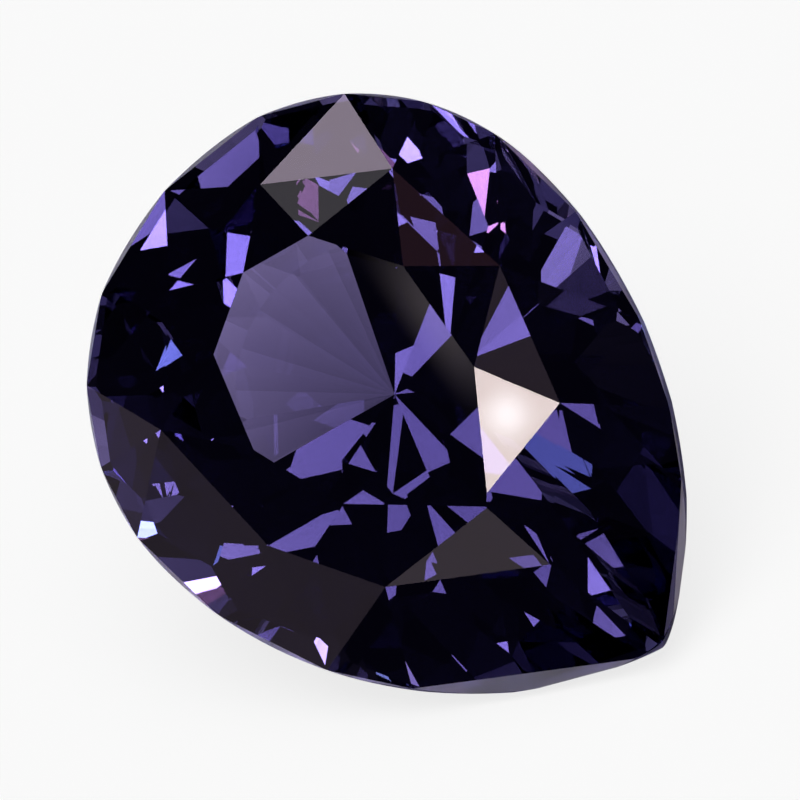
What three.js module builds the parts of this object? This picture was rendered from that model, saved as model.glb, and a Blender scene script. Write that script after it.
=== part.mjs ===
import * as THREE from "three";

// Pear-cut spinel lying on one of its pavilion facets. Millimetres, +Z up.
// The stone is cut in its own frame first: +X towards the point of the pear, +Z out of the table,
// z = 0 at the upper edge of the girdle, origin over the middle of the round end. It is laid down last.

// Outline of the girdle: a full round head and a drawn-out tip, the tip leaning a little to one side
const WIDTH = 7.2;
const HEAD_LENGTH = 3.6;
const TIP_LENGTH = 5.75;
const HEAD_FULLNESS = 0.91;
const TIP_FULLNESS = 1.44;
const SIDE_SHIFT = -0.05;
const TIP_LEAN = 0.25;
const OUTLINE_STEPS = 44;

// Levels
const TABLE_Z = 1.2;
const STAR_Z = 0.75;
const TIP_STAR_Z = 0.79;
const GIRDLE_THICKNESS = 0.22;
const CULET = new THREE.Vector3(0.16, -0.05, -3.68);

// Corners of the eight-sided table, from the head round the +Y side to the tip and back
const TABLE = [
  [-1.52, 0.03], [-1.18, 0.97], [0.09, 1.54], [1.75, 1.23],
  [3.17, 0.05], [1.63, -1.25], [0.23, -1.54], [-1.07, -1.01],
].map(([x, y]) => new THREE.Vector3(x, y, TABLE_Z));

// Points of the eight star facets, in the same order, starting on the +Y side of the head
const STARS = [
  [-2.34, 0.97, STAR_Z], [-1.1, 2.32, STAR_Z], [0.93, 2.37, TIP_STAR_Z], [2.81, 1.62, TIP_STAR_Z],
  [2.7, -1.68, TIP_STAR_Z], [1.11, -2.36, TIP_STAR_Z], [-1.1, -2.26, STAR_Z], [-2.31, -0.86, STAR_Z],
].map((corner) => new THREE.Vector3(...corner));

// The ridge that runs from the table to the tip
const RIDGE = new THREE.Vector3(4.18, 0.02, 0.79);

// Stations along the girdle on each side: corners of the outer mains, and the corners between them
const MAIN_X = [-HEAD_LENGTH, -2.6, -0.65, 2.57];
const HALF_X = [-3.3, -1.68, 0.92, 3.68];
const TIP_SIDE_X = 4.61;

// Pavilion: compass directions and slopes, in degrees, of the facets that meet in the culet
const LOWER = [[180, 40.8], [157.5, 40.8], [135, 40.8], [112.5, 40.8], [90, 40.8], [66, 39.4], [36, 37]];

// Second row of the pavilion: slope of its facets, and how far from the culet each starts, on the edge
// between two facets of the lower row; the pair by the tip is flatter and starts further out
const SECOND = { slope: 44, reach: 1.8 };
const SECOND_TIP = { slope: 42, reach: 2.6 };

// Small facets under the girdle
const BREAK_SLOPE = 47;
const BREAK_INSET = 0.42;
const BREAK_DROP = 0.58;
const GIRDLE_FACET_SLOPE = 54;

// How it lies: the lower facet it rests on, and the turn that brings the table to the front
const REST = { azimuth: -36, slope: 37 };
const TURN = -75.63;

// A corner this near a new plane counts as lying on it, so no facet gets a hairline edge
const ON_PLANE = 2e-3;
const SAME_POINT = 1e-6;

// Half width of the outline at a station along its length
function halfWidth(x) {
  const length = x < 0 ? HEAD_LENGTH : TIP_LENGTH;
  const fullness = x < 0 ? HEAD_FULLNESS : TIP_FULLNESS;
  return (WIDTH / 2) * (1 - (x / length) ** 2) ** (fullness / 2);
}

const middle = (x) => SIDE_SHIFT + (x > 0 ? TIP_LEAN * (x / TIP_LENGTH) ** 3 : 0);
const edge = (x, side) => middle(x) + side * halfWidth(x);
const onGirdle = (x, side, z = 0) => new THREE.Vector3(x, edge(x, side), z);

function direction(azimuth, slope) {
  const around = THREE.MathUtils.degToRad(azimuth);
  const down = THREE.MathUtils.degToRad(slope);
  return new THREE.Vector3(
    Math.sin(down) * Math.cos(around), Math.sin(down) * Math.sin(around), -Math.cos(down));
}

// The blank: a column with the outline of the girdle, as a list of flat faces with their corners in order
function blank(bottom, top) {
  const ring = [];
  for (const side of [1, -1]) {
    for (let i = 0; i < 2 * OUTLINE_STEPS; i += 1) {
      const angle = side * ((1 - i / OUTLINE_STEPS) * Math.PI) / 2;
      const x = Math.sin(angle) * (angle < 0 ? HEAD_LENGTH : TIP_LENGTH);
      ring.push([x, edge(x, side)]);
    }
  }
  const level = (z) => ring.map(([x, y]) => new THREE.Vector3(x, y, z));
  const low = level(bottom);
  const high = level(top);
  const walls = ring.map((_, i) => {
    const next = (i + 1) % ring.length;
    return [low[i], low[next], high[next], high[i]];
  });
  return [high, low.reverse(), ...walls];
}

// Corners that lie on the new plane, put in order round it, make the new facet
function facetFrom(corners, normal) {
  const distinct = [];
  for (const corner of corners) {
    if (!distinct.some((other) => other.distanceTo(corner) < SAME_POINT)) distinct.push(corner);
  }
  const centre = distinct.reduce((sum, p) => sum.add(p), new THREE.Vector3()).divideScalar(distinct.length);
  const across = distinct[0].clone().sub(centre).normalize();
  const up = normal.clone().cross(across);
  const turn = (p) => Math.atan2(p.clone().sub(centre).dot(up), p.clone().sub(centre).dot(across));
  return distinct.sort((p, q) => turn(p) - turn(q));
}

// One facet is one flat cut: everything on the outer side of its plane goes
let faces = blank(-5, 2);

function cut(normal, point) {
  const height = (p) => {
    const d = p.clone().sub(point).dot(normal);
    return Math.abs(d) < ON_PLANE ? 0 : d;
  };
  if (!faces.some((face) => face.some((p) => height(p) > 0))) return;
  const kept = [];
  const onPlane = [];
  for (const face of faces) {
    const corners = [];
    face.forEach((a, i) => {
      const b = face[(i + 1) % face.length];
      const da = height(a);
      const db = height(b);
      if (da <= 0) corners.push(a);
      if (da * db < 0) corners.push(a.clone().lerp(b, da / (da - db)));
    });
    const touching = corners.filter((p) => height(p) === 0);
    onPlane.push(...touching);
    if (corners.length > 2 && touching.length < corners.length) kept.push(corners);
  }
  kept.push(facetFrom(onPlane, normal));
  faces = kept;
}

// A crown facet through three corners, facing up
function crownCut(a, b, c) {
  const normal = new THREE.Plane().setFromCoplanarPoints(a, b, c).normal;
  if (normal.z < 0) normal.negate();
  cut(normal, a);
}

// Table, then the stars and the inner mains between them
cut(new THREE.Vector3(0, 0, 1), TABLE[0]);
for (let i = 0; i < 8; i += 1) {
  const before = STARS[(i + 7) % 8];
  crownCut(TABLE[i], TABLE[(i + 1) % 8], STARS[i]);
  if (i !== 4) crownCut(TABLE[i], before, STARS[i]);
}
crownCut(TABLE[4], STARS[3], RIDGE);
crownCut(TABLE[4], STARS[4], RIDGE);

// Outer mains: one on the head, three on each side, two that meet in the ridge at the tip
crownCut(onGirdle(-HEAD_LENGTH, 1), STARS[0], STARS[7]);
for (const side of [1, -1]) {
  const star = (i) => (side > 0 ? STARS[i] : STARS[7 - i]);
  for (let i = 1; i < 4; i += 1) {
    crownCut(onGirdle(MAIN_X[i], side), star(i - 1), star(i));
  }
  crownCut(star(3), RIDGE, onGirdle(TIP_LENGTH, side, 0.1));

  // Girdle facets of the crown, two to each star point
  for (let i = 0; i < 4; i += 1) {
    const half = onGirdle(HALF_X[i], side);
    crownCut(star(i), onGirdle(MAIN_X[i], side), half);
    crownCut(star(i), half, onGirdle(i < 3 ? MAIN_X[i + 1] : TIP_SIDE_X, side));
  }
}

// Lower pavilion, all through the culet
for (const [azimuth, slope] of LOWER) {
  cut(direction(azimuth, slope), CULET);
  if (azimuth < 180) cut(direction(-azimuth, slope), CULET);
}

// Height of the lower pavilion over a point, by the facet that cuts highest there
function lowerSurface(x, y) {
  const heights = LOWER.flatMap(([azimuth, slope]) => [azimuth, -azimuth].map((around) => {
    const normal = direction(around, slope);
    return CULET.z - (normal.x * (x - CULET.x) + normal.y * (y - CULET.y)) / normal.z;
  }));
  return Math.max(...heights);
}

// Second row, one facet over each edge of the lower row
for (let i = 0; i < LOWER.length - 1; i += 1) {
  const { slope, reach } = i < LOWER.length - 2 ? SECOND : SECOND_TIP;
  for (const side of [1, -1]) {
    const azimuth = (side * (LOWER[i][0] + LOWER[i + 1][0])) / 2;
    const around = THREE.MathUtils.degToRad(azimuth);
    const x = CULET.x + reach * Math.cos(around);
    const y = CULET.y + reach * Math.sin(around);
    cut(direction(azimuth, slope), new THREE.Vector3(x, y, lowerSurface(x, y)));
  }
}

// Girdle facets of the pavilion under those of the crown, and the break facets below their corners
const stations = MAIN_X.flatMap((x, i) => [x, HALF_X[i]]);
stations.push(TIP_SIDE_X, TIP_LENGTH);
for (const side of [1, -1]) {
  for (let i = 0; i < stations.length - 1; i += 1) {
    const a = onGirdle(stations[i], side, -GIRDLE_THICKNESS);
    const b = onGirdle(stations[i + 1], side, -GIRDLE_THICKNESS);
    const azimuth = THREE.MathUtils.radToDeg(Math.atan2(side * (b.x - a.x), side * (a.y - b.y)));
    cut(direction(azimuth, GIRDLE_FACET_SLOPE), a);
  }
  for (const x of stations.slice(1, -1)) {
    const slope = (edge(x + 0.01, side) - edge(x - 0.01, side)) / 0.02;
    const outward = Math.atan2(side, -side * slope);
    const inset = onGirdle(x, side, -GIRDLE_THICKNESS - BREAK_DROP);
    inset.x -= Math.cos(outward) * BREAK_INSET;
    inset.y -= Math.sin(outward) * BREAK_INSET;
    cut(direction(THREE.MathUtils.radToDeg(outward), BREAK_SLOPE), inset);
  }
}

// From flat faces to triangles
const positions = [];
for (const face of faces) {
  for (let i = 1; i < face.length - 1; i += 1) {
    for (const corner of [face[0], face[i], face[i + 1]]) positions.push(...corner.toArray());
  }
}
const geometry = new THREE.BufferGeometry();
geometry.setAttribute("position", new THREE.Float32BufferAttribute(positions, 3));

// Laid down on its pavilion facet
const downward = new THREE.Vector3(0, 0, -1);
geometry.applyQuaternion(
  new THREE.Quaternion().setFromUnitVectors(direction(REST.azimuth, REST.slope), downward));
geometry.rotateZ(THREE.MathUtils.degToRad(TURN));
geometry.computeBoundingBox();
const box = geometry.boundingBox;
geometry.translate(-(box.min.x + box.max.x) / 2, -(box.min.y + box.max.y) / 2, -box.min.z);
geometry.computeVertexNormals();

const spinel = new THREE.MeshStandardMaterial({ color: 0x2c2350, roughness: 0.02, metalness: 0 });
const gemstone = new THREE.Mesh(geometry, spinel);
gemstone.name = "gemstone";

const group = new THREE.Group();
group.add(gemstone);

export default group;
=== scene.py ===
import math

import bmesh
import bpy
from bpy.props import FloatProperty, FloatVectorProperty, IntProperty, PointerProperty
from mathutils import Matrix, Vector


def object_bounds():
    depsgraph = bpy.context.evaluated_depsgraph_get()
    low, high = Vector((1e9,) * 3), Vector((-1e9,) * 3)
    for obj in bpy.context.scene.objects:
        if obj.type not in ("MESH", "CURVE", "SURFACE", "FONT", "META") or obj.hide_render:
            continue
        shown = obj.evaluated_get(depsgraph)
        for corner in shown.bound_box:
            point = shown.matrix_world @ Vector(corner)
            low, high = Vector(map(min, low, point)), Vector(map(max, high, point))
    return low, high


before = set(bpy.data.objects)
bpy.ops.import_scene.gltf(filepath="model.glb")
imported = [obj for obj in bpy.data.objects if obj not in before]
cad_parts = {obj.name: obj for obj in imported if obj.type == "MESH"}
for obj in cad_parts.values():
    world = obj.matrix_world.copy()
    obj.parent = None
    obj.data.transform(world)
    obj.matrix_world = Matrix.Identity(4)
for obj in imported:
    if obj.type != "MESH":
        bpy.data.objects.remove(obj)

# A pear-cut spinel that lies on a pavilion facet: its clear violet body, and the studio it is seen in.
# Lengths are metres. Azimuth 0 is the front, -Y, and 90 is +X.

bl_info = {
    "name": "Pear-cut Spinel",
    "version": (1, 0, 0),
    "blender": (4, 5, 0),
    "location": "3D View > Sidebar > Spinel",
    "description": "Dresses a pear-cut spinel and sets up the studio around it",
    "category": "Object",
}

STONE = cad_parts["gemstone"]
CAD_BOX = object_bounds()
MIDDLE = (CAD_BOX[0] + CAD_BOX[1]) / 2

# The stone was cut with its table level, then laid down. This turn and shift lead back to the cutting
# frame, in millimetres. There the upper edge of the girdle is at height 0 and the culet is the lowest
# point.
LAID_TURN = (math.radians(23.8899), math.radians(29.1356), math.radians(-69.3363))
LAID_SHIFT = (-0.00004382, 0.00083147, 0.00303457)
MM = 0.001
CULET_X = 0.16
CULET_Y = -0.05

# The ground girdle: how many millimetres it keeps from the two polished halves, its tint, and how much
# rougher and how deep its grain is
GIRDLE_EDGE = 0.004
GIRDLE_TINT = (0.86, 0.84, 0.95, 1.0)
GRAIN_ROUGHNESS = 0.2
GRAIN_DEPTH = 0.000004

# How many times as much as the red part of the surface tint its green part varies
GREEN_ZONING = 1.4

# Width of a blade of the fan of painted shade in degrees, how far the blades of the outer ring are turned
# on, as a share of that width, and where the outer ring begins, in millimetres
BLADE = 17.0
BLADE_OFFSET = 0.45
BLADE_REACH = 1.9

# A painted shadow on the floor: the part behind the stone that shows through its table, how far its full
# dimness reaches, and where the dimness ends
PAINTED_SHADOW_CENTRE = (0.0005, 0.0029, 0.0)
PAINTED_SHADOW_CORE = 0.0003
PAINTED_SHADOW_REACH = 0.0034

# The facet it rests on keeps its film of air
FLOOR_GAP = 0.00003

# The point that the middle of the picture shows, and the width of the camera's sensor in millimetres
AIM = (0.0003222, 0.0006234, 0.002315)
SENSOR = 36.0

# How nodes are laid out in the editor
NODES_IN_ROW = 8
NODE_WIDTH = 220
NODE_HEIGHT = 240


class StoneSettings(bpy.types.PropertyGroup):
    """Body, surface and girdle of the spinel."""

    body_colour: FloatVectorProperty(
        name="Body colour", description="Colour that is left of white light in a deep piece of the stone",
        subtype="COLOR", size=3, min=0, max=1, default=(0.5, 0.49, 0.63))
    body_depth: FloatProperty(
        name="Depth of colour", description="How strongly the body absorbs light, per metre",
        min=0, default=600.0)
    surface_tint: FloatVectorProperty(
        name="Surface tint", description="Colour of light that has passed the surface of the stone",
        subtype="COLOR", size=3, min=0, max=1, default=(0.72, 0.6, 1.0))
    ior: FloatProperty(name="Refractive index", description="Bends the light", min=1, max=3, default=1.718)
    girdle_frost: FloatProperty(
        name="Girdle frost", description="Roughness of the ground girdle", subtype="FACTOR", min=0, max=1,
        default=0.32)
    girdle_height: FloatProperty(
        name="Girdle height", description="Height of the ground band round the stone", subtype="DISTANCE",
        unit="LENGTH", precision=5, min=0, default=0.00022)
    # Strength of the painted shade on the narrow lower facets
    painted_fan_shade: FloatProperty(
        name="Fan", description="How much the narrow lower facets differ in brightness", subtype="FACTOR",
        min=0, max=1, default=0.3)
    zoning: FloatProperty(
        name="Colour zoning", description="How uneven the colour is through the stone", subtype="FACTOR",
        min=0, max=1, default=0.05)


class StudioSettings(bpy.types.PropertyGroup):
    """Floor, lights and camera."""

    floor_size: FloatProperty(
        name="Floor size", description="Side of the square floor", subtype="DISTANCE", unit="LENGTH",
        default=3.0)
    floor_colour: FloatVectorProperty(
        name="Floor colour", description="Colour of the plain floor", subtype="COLOR", size=3, min=0, max=1,
        default=(0.93, 0.93, 0.93))
    floor_glow: FloatProperty(
        name="Floor glow", description="Even light that the floor gives back of itself", min=0, default=0.8)
    # How deep the painted shadow behind the stone is
    painted_floor_shadow: FloatProperty(
        name="Glow in the shade", description="Share of that light that is left behind the stone",
        subtype="FACTOR", min=0, max=1, default=0.5)
    overhead: FloatProperty(
        name="Overhead light", description="Radiance of the large soft light above the floor", min=0,
        default=0.38)
    facet_light: FloatProperty(
        name="Facet light", description="Strength of the softboxes that the crown mirrors", min=0,
        default=1.0)
    inner_low: FloatProperty(
        name="Low lamps", description="Radiance that the small lamps gain towards the horizon", min=0,
        default=22.0)
    inner_fade: FloatProperty(
        name="Fade of low lamps", description="Degrees of height over which that gain fades", min=1,
        default=13.5)
    inner_high: FloatProperty(
        name="High lamps", description="Radiance that all the small lamps have", min=0, default=3.3)
    inner_fill: FloatProperty(
        name="Inner fill", description="Even dim light that the stone gathers from all round", min=0,
        default=0.03)
    backdrop: FloatProperty(
        name="Backdrop", description="Brightness where the camera looks past the floor", min=0,
        default=0.95)
    bounces: IntProperty(
        name="Bounces", description="How often light is followed through and inside the stone", min=1,
        default=11)
    lens: FloatProperty(
        name="Lens", description="Focal length", subtype="DISTANCE_CAMERA", unit="CAMERA", default=500.0)
    camera_distance: FloatProperty(
        name="Camera distance", description="From the lens to the stone", subtype="DISTANCE", unit="LENGTH",
        default=0.1455)
    camera_elevation: FloatProperty(
        name="Camera elevation", description="Height of the view above the horizon", subtype="ANGLE",
        unit="ROTATION", default=math.radians(37.61))
    camera_roll: FloatProperty(
        name="Camera roll", description="Turn of the camera about its own axis", subtype="ANGLE",
        unit="ROTATION", default=math.radians(-26.89))


class Wire:
    """One socket of a node tree; arithmetic on it adds Math nodes."""

    def __init__(self, shader, socket):
        self.shader = shader
        self.socket = socket

    def beside(self, output):
        """Another output of the same node."""
        return Wire(self.shader, self.socket.node.outputs[output])

    def math(self, operation, *others):
        return self.shader.node("ShaderNodeMath", {"operation": operation}, [self, *others])

    def __add__(self, other):
        return self.math("ADD", other)

    def __sub__(self, other):
        return self.math("SUBTRACT", other)

    def __rsub__(self, other):
        return self.shader.node("ShaderNodeMath", {"operation": "SUBTRACT"}, [other, self])

    def __mul__(self, other):
        return self.math("MULTIPLY", other)

    def __gt__(self, other):
        return self.math("GREATER_THAN", other)

    def __lt__(self, other):
        return self.math("LESS_THAN", other)

    __radd__ = __add__
    __rmul__ = __mul__


class Shader:
    """A material or world tree that is filled node by node."""

    def __init__(self, owner):
        owner.use_nodes = True
        self.tree = owner.node_tree
        self.tree.nodes.clear()

    def node(self, kind, settings=None, inputs=(), output=0):
        made = self.tree.nodes.new(kind)
        for name, value in (settings or {}).items():
            if name == "stops":
                elements = made.color_ramp.elements
                while len(elements) < len(value):
                    elements.new(1.0)
                for element, (position, colour) in zip(elements, value):
                    element.position, element.color = position, colour
            else:
                setattr(made, name, value)
        pairs = inputs.items() if isinstance(inputs, dict) else enumerate(inputs)
        for name, value in pairs:
            if isinstance(value, Wire):
                self.tree.links.new(value.socket, made.inputs[name])
            else:
                made.inputs[name].default_value = value
        row, column = divmod(len(self.tree.nodes), NODES_IN_ROW)
        made.location = (NODE_WIDTH * column, -NODE_HEIGHT * row)
        return Wire(self, made.outputs[output]) if made.outputs else made


def spinel_material(settings):
    """Clear violet body, perfectly sharp facets, and a ground girdle."""
    material = bpy.data.materials.new("spinel")
    shader = Shader(material)
    place = shader.node("ShaderNodeTexCoord", output="Object")
    cut_frame = shader.node(
        "ShaderNodeMapping", {"vector_type": "TEXTURE"},
        {"Vector": place, "Location": LAID_SHIFT, "Rotation": LAID_TURN, "Scale": (MM, MM, MM)})
    height = shader.node("ShaderNodeSeparateXYZ", inputs=[cut_frame], output="Z")
    along = height.beside("X") - CULET_X
    across = height.beside("Y") - CULET_Y

    # The ground band lies between the two polished halves
    band = -settings.girdle_height / MM
    girdle = (height > band + GIRDLE_EDGE) * (height < -GIRDLE_EDGE)

    # Colour lies in broad, soft zones across the crystal
    red, green, blue = settings.surface_tint
    zones = shader.node(
        "ShaderNodeTexNoise", inputs={"Vector": cut_frame, "Scale": 0.45, "Detail": 2.0, "Roughness": 0.5})
    tint = shader.node(
        "ShaderNodeValToRGB",
        {"stops": [
            (0.35, (red * (1 - settings.zoning), green * (1 - GREEN_ZONING * settings.zoning), blue, 1)),
            (0.65, (red, green, blue, 1))]},
        [zones])

    # Blades finer than the facets of the solid are painted shade below the girdle: each blade is darker
    # towards one side, and the fan spreads out from the culet in two rings
    around = across.math("ARCTAN2", along) * (180 / math.pi / BLADE)
    outer = (across * across + along * along) > BLADE_REACH ** 2
    shade = (around + outer * BLADE_OFFSET).math("FRACT") * (height < band) * settings.painted_fan_shade
    painted_fan_shade = shader.node("ShaderNodeCombineColor", inputs=[1 - shade] * 3)
    shaded = shader.node(
        "ShaderNodeMix", {"data_type": "RGBA", "blend_type": "MULTIPLY"},
        {"Factor": 1.0, 6: tint, 7: painted_fan_shade}, output=2)
    frosted = shader.node(
        "ShaderNodeMix", {"data_type": "RGBA"},
        {"Factor": girdle, 6: shaded, 7: GIRDLE_TINT}, output=2)

    # Grain of the ground band
    grain = shader.node(
        "ShaderNodeTexNoise", inputs={"Vector": cut_frame, "Scale": 38.0, "Detail": 3.0, "Roughness": 0.6})
    roughness = girdle * (settings.girdle_frost + GRAIN_ROUGHNESS * grain)
    relief = shader.node(
        "ShaderNodeBump", inputs={"Strength": 0.35, "Distance": GRAIN_DEPTH, "Height": grain * girdle})

    body = shader.node("ShaderNodeBsdfPrincipled", inputs={
        "Base Color": frosted, "Roughness": roughness, "IOR": settings.ior,
        "Transmission Weight": 1.0, "Normal": relief})
    depth = shader.node("ShaderNodeVolumeAbsorption", inputs={
        "Color": (*settings.body_colour, 1.0), "Density": settings.body_depth})
    shader.node("ShaderNodeOutputMaterial", inputs={"Surface": body, "Volume": depth})
    return material


def floor_material(settings):
    """Matt pale floor, lit partly from within so that the cast shadow stays faint, with a painted shadow.
    """
    material = bpy.data.materials.new("pale_floor")
    shader = Shader(material)

    # Painted shadow: the floor's glow is dimmer close behind the stone
    place = shader.node("ShaderNodeTexCoord", output="Object")
    away = shader.node("ShaderNodeVectorMath", {"operation": "DISTANCE"}, [place, PAINTED_SHADOW_CENTRE], output="Value")
    glow = shader.node(
        "ShaderNodeMapRange", {"interpolation_type": "SMOOTHSTEP"},
        {"Value": away, "From Min": PAINTED_SHADOW_CORE, "From Max": PAINTED_SHADOW_REACH,
         "To Min": settings.painted_floor_shadow, "To Max": 1.0})
    matt = shader.node("ShaderNodeBsdfPrincipled", inputs={
        "Base Color": (*settings.floor_colour, 1.0), "Roughness": 0.9, "Specular IOR Level": 0.0,
        "Emission Color": shader.node("ShaderNodeCombineColor", inputs=[glow, glow, glow]),
        "Emission Strength": settings.floor_glow})
    shader.node("ShaderNodeOutputMaterial", inputs={"Surface": matt})
    return material


def towards(azimuth, elevation):
    """Unit vector from the stone to a place in the studio, from angles in degrees."""
    around, up = math.radians(azimuth), math.radians(elevation)
    return Vector((math.sin(around) * math.cos(up), -math.cos(around) * math.cos(up), math.sin(up)))


def soften_edges(data, edge):
    """Fade a softbox towards its rim; edge is the share of its half width that fades."""
    shader = Shader(data)
    across = shader.node("ShaderNodeNewGeometry", output="Parametric")
    centred = shader.node("ShaderNodeVectorMath", {"operation": "SUBTRACT"}, [across, (0.5, 0.5, 0.0)])
    outward = shader.node("ShaderNodeVectorMath", {"operation": "ABSOLUTE"}, [centred])
    side = shader.node("ShaderNodeSeparateXYZ", inputs=[outward])
    fades = [
        shader.node(
            "ShaderNodeMapRange", {"interpolation_type": "SMOOTHSTEP"},
            {"Value": side.beside(axis),
             "From Min": 0.5, "From Max": 0.5 * (1 - edge), "To Min": 0.0, "To Max": 1.0})
        for axis in ("X", "Y")]
    glow = shader.node("ShaderNodeEmission", inputs={"Strength": fades[0] * fades[1]})
    shader.node("ShaderNodeOutputLight", inputs=[glow])


def lamp(name, place, away, width, height, radiance, colour, lights, edge=0.0, along=None):
    """An area light at a place, facing back along away, its height along another direction.
    It lights the outer facets, the inside of the stone, or the floor."""
    data = bpy.data.lights.new(name, "AREA")
    data.shape = "RECTANGLE"
    data.size, data.size_y = width, height
    data.energy = radiance * math.pi * width * height
    data.color = colour
    if edge:
        soften_edges(data, edge)
    made = bpy.data.objects.new(name, data)
    bpy.context.scene.collection.objects.link(made)
    made.location = place
    if along is None:
        made.rotation_euler = away.to_track_quat("Z", "Y").to_euler()
    else:
        made.rotation_euler = Matrix((along.cross(away), along, away)).transposed().to_euler()
    made.visible_camera = False
    made.visible_glossy = lights == "facets"
    made.visible_transmission = lights == "inside"
    made.visible_diffuse = lights == "floor"


# How far the softboxes stand from the middle of the stone
SOFTBOX_DISTANCE = 0.5


def softbox(name, azimuth, elevation, width, height, radiance, colour, lights, edge=0.0):
    """A distant lamp that the stone sees at these angles, in degrees."""
    away = towards(azimuth, elevation)
    sides = [2 * SOFTBOX_DISTANCE * math.tan(math.radians(angle / 2)) for angle in (width, height)]
    lamp(name, MIDDLE + away * SOFTBOX_DISTANCE, away, *sides, radiance, colour, lights, edge)


# Height and side of the soft light above the floor, in degrees
OVERHEAD_ELEVATION = 89.9
OVERHEAD_SIDE = 75

# What the brighter facets of the crown mirror, set around the ways in which they mirror the camera:
# name, azimuth, elevation, width and height in degrees, radiance, colour, fading rim
FACET_LIGHTS = [
    ("key_warm", 28.4, 53.0, 10, 10, 11.0, (1.0, 0.84, 0.82), 0.25),
    ("back_panel", 178, 51.0, 14, 6, 2.6, (1.0, 0.83, 1.05), 0.1),
    ("back_panel_high", 181.6, 58.0, 12, 6, 0.55, (0.95, 0.9, 1.0), 0.1),
    ("front_low", 316.5, 10.0, 10, 8, 0.5, (1.0, 0.82, 0.95), 0.1),
    ("side_high", 61.3, 55.3, 8, 5, 0.25, (1.0, 0.75, 0.97), 0.3),
    ("back_high", 103, 66.4, 10, 6, 0.17, (1.0, 0.45, 0.6), 0.2),
    ("left_wall_near", 277, 2.6, 34, 17.4, 0.2, (1.0, 0.78, 1.0), 0.05),
    ("left_wall_far", 249, 6.0, 22, 17, 0.26, (1.0, 0.78, 1.0), 0.05),
]

# Two small lamps close by, a spot and a strip: the place on the facet that mirrors each, the way from there
# to the lamp and how far it is, and the lamp's sides, radiance and colour
NEAR_DISTANCE = 0.03
SPOT_PLACE = (0.0014592, -0.0016389, 0.0030517)
SPOT_WAY = (0.29471, -0.53244, 0.7935)
SPOT_SIDE = 0.0011
SPOT_RADIANCE = 5.0
SPOT_COLOUR = (0.85, 0.95, 1.0)
STRIP_PLACE = (0.0012548, -0.0004004, 0.0040349)
STRIP_WAY = (-0.40633, -0.24574, 0.88006)
STRIP_ALONG = (-0.00046, -0.9631, -0.26913)
STRIP_SIDES = (0.0013, 0.004)
STRIP_RADIANCE = 0.6
STRIP_COLOUR = (1.0, 0.86, 0.95)

# Colours of the small lamps that light the inside: most are clear, and every so many, from a first one on,
# is warm or blue, as a cut stone splits light
CLEAR = (1.0, 0.96, 1.0)
WARM = (1.2, 0.7, 0.55)
WARM_EVERY = 12
WARM_FIRST = 4
BLUE = (0.68, 0.98, 1.1)
BLUE_EVERY = 9
BLUE_FIRST = 1

# Small lamps whose light the pavilion turns back, in level rings one above the other, angles in degrees.
# Each ring is turned on from the one below, and the low ones are the strongest.
RINGS = 10
RING_LOWEST = 3.1
RING_STEP = 9.13
RING_LAMPS = 17
RING_START = 16.7
RING_TWIST = 18.3
LAMP_WIDTH = 5.4
LAMP_HEIGHT = 5.2


def inner_lamps(settings):
    """Azimuth, elevation and radiance of each small lamp, ring by ring from the lowest."""
    for ring in range(RINGS):
        elevation = RING_LOWEST + ring * RING_STEP
        count = round(RING_LAMPS * math.cos(math.radians(elevation)))
        radiance = settings.inner_low * math.exp(-elevation / settings.inner_fade) + settings.inner_high
        for i in range(count):
            yield RING_START + ring * RING_TWIST + i * 360 / count, elevation, radiance


def inner_colour(number):
    """Colour of a small lamp, by its number."""
    if number % WARM_EVERY == WARM_FIRST:
        return WARM
    if number % BLUE_EVERY == BLUE_FIRST:
        return BLUE
    return CLEAR


class SPINEL_OT_stone(bpy.types.Operator):
    """Give the cut stone its spinel body"""

    bl_idname = "spinel.stone"
    bl_label = "Dress Stone"

    def execute(self, context):
        material = spinel_material(context.scene.spinel_stone)
        STONE.data.materials.clear()
        STONE.data.materials.append(material)
        return {"FINISHED"}


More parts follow.
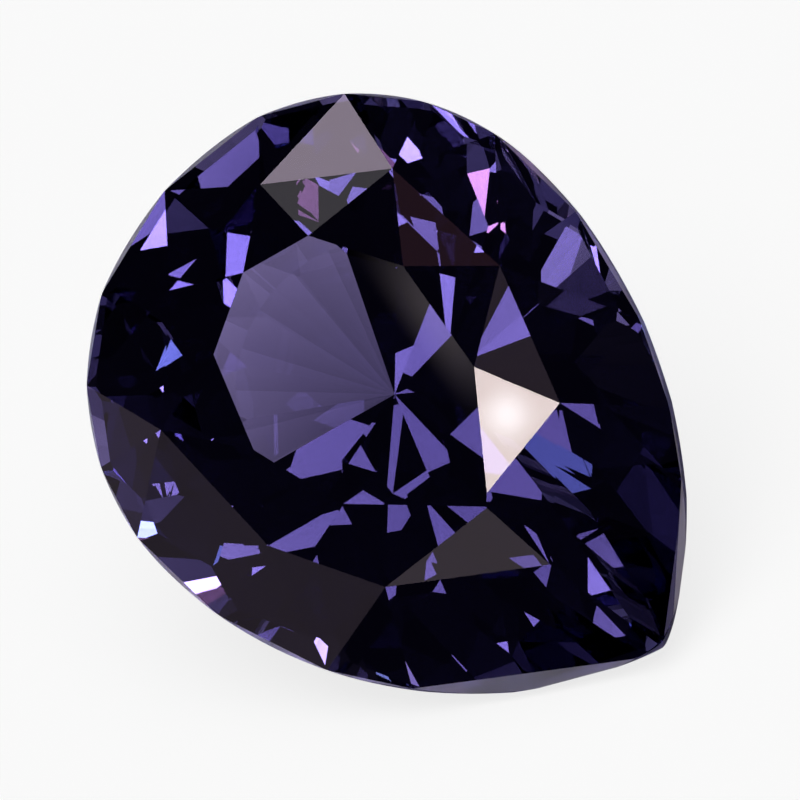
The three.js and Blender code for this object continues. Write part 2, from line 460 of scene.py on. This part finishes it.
class SPINEL_OT_studio(bpy.types.Operator):
    """Set up the floor, the lights and the camera"""

    bl_idname = "spinel.studio"
    bl_label = "Set Up Studio"

    def execute(self, context):
        settings = context.scene.spinel_studio
        self.floor(settings)
        self.lights(settings)
        self.surround(context.scene, settings)
        self.camera(context.scene, settings)
        context.scene.view_settings.view_transform = "Standard"
        cycles = context.scene.cycles
        cycles.max_bounces = cycles.transmission_bounces = cycles.glossy_bounces = settings.bounces
        cycles.diffuse_bounces = 0
        return {"FINISHED"}

    def floor(self, settings):
        mesh = bmesh.new()
        bmesh.ops.create_grid(mesh, x_segments=8, y_segments=8, size=settings.floor_size / 2)
        bmesh.ops.translate(mesh, verts=mesh.verts, vec=(0, 0, -FLOOR_GAP))
        data = bpy.data.meshes.new("floor")
        mesh.to_mesh(data)
        mesh.free()
        data.materials.append(floor_material(settings))
        floor = bpy.data.objects.new("floor", data)
        bpy.context.scene.collection.objects.link(floor)
        # The facets mirror the softboxes only, as on a set flagged with black card
        floor.visible_glossy = False
        floor.visible_shadow = False

    def lights(self, settings):
        white = (1.0, 1.0, 1.0)
        softbox(
            "overhead", 0, OVERHEAD_ELEVATION, OVERHEAD_SIDE, OVERHEAD_SIDE, settings.overhead, white,
            "floor")
        gain = settings.facet_light
        for name, azimuth, elevation, width, height, radiance, colour, edge in FACET_LIGHTS:
            softbox(name, azimuth, elevation, width, height, radiance * gain, colour, "facets", edge)
        for number, (azimuth, elevation, radiance) in enumerate(inner_lamps(settings)):
            softbox(
                f"inner_{number:03d}", azimuth, elevation, LAMP_WIDTH, LAMP_HEIGHT, radiance,
                inner_colour(number), "inside")

        # A soft spot on the near-white facet
        way = Vector(SPOT_WAY).normalized()
        place = Vector(SPOT_PLACE) + way * NEAR_DISTANCE
        lamp(
            "key_spot", place, way, SPOT_SIDE, SPOT_SIDE, SPOT_RADIANCE * gain, SPOT_COLOUR, "facets", 1.0)

        # A pale edge, mirrored along the far side of the table
        way = Vector(STRIP_WAY).normalized()
        place = Vector(STRIP_PLACE) + way * NEAR_DISTANCE
        lamp(
            "table_edge", place, way, *STRIP_SIDES, STRIP_RADIANCE * gain, STRIP_COLOUR, "facets", 1.0,
            Vector(STRIP_ALONG).normalized())

    def surround(self, scene, settings):
        """Pale where the camera looks past the floor, nearly dark for the stone."""
        world = bpy.data.worlds.new("surround")
        scene.world = world
        shader = Shader(world)
        seen = shader.node("ShaderNodeLightPath", output="Is Camera Ray")
        gathered = shader.node("ShaderNodeLightPath", output="Is Transmission Ray")
        strength = seen * settings.backdrop + gathered * settings.inner_fill
        glow = shader.node("ShaderNodeBackground", inputs={"Color": (1, 1, 1, 1), "Strength": strength})
        shader.node("ShaderNodeOutputWorld", inputs={"Surface": glow})

    def camera(self, scene, settings):
        data = bpy.data.cameras.new("camera")
        data.lens = settings.lens
        data.sensor_width = SENSOR
        data.clip_start = 0.001
        data.clip_end = 10.0
        camera = bpy.data.objects.new("camera", data)
        scene.collection.objects.link(camera)
        back = towards(0, math.degrees(settings.camera_elevation))
        roll = Matrix.Rotation(settings.camera_roll, 4, "Z").to_quaternion()
        turn = (-back).to_track_quat("-Z", "Y") @ roll
        camera.rotation_euler = turn.to_euler()
        camera.location = Vector(AIM) + back * settings.camera_distance
        scene.camera = camera


class SPINEL_PT_panel(bpy.types.Panel):
    """The stone and its studio"""

    bl_idname = "SPINEL_PT_panel"
    bl_label = "Pear-cut Spinel"
    bl_space_type = "VIEW_3D"
    bl_region_type = "UI"
    bl_category = "Spinel"

    def draw(self, context):
        scene = context.scene
        parts = ((scene.spinel_stone, SPINEL_OT_stone), (scene.spinel_studio, SPINEL_OT_studio))
        for settings, operator in parts:
            column = self.layout.column(align=True)
            for name in settings.__annotations__:
                column.prop(settings, name)
            column.operator(operator.bl_idname)


CLASSES = (StoneSettings, StudioSettings, SPINEL_OT_stone, SPINEL_OT_studio, SPINEL_PT_panel)


def register():
    for cls in CLASSES:
        bpy.utils.register_class(cls)
    bpy.types.Scene.spinel_stone = PointerProperty(type=StoneSettings)
    bpy.types.Scene.spinel_studio = PointerProperty(type=StudioSettings)


def unregister():
    del bpy.types.Scene.spinel_studio
    del bpy.types.Scene.spinel_stone
    for cls in reversed(CLASSES):
        bpy.utils.unregister_class(cls)


def main():
    register()
    bpy.ops.spinel.stone()
    bpy.ops.spinel.studio()


if __name__ == "__main__":
    main()
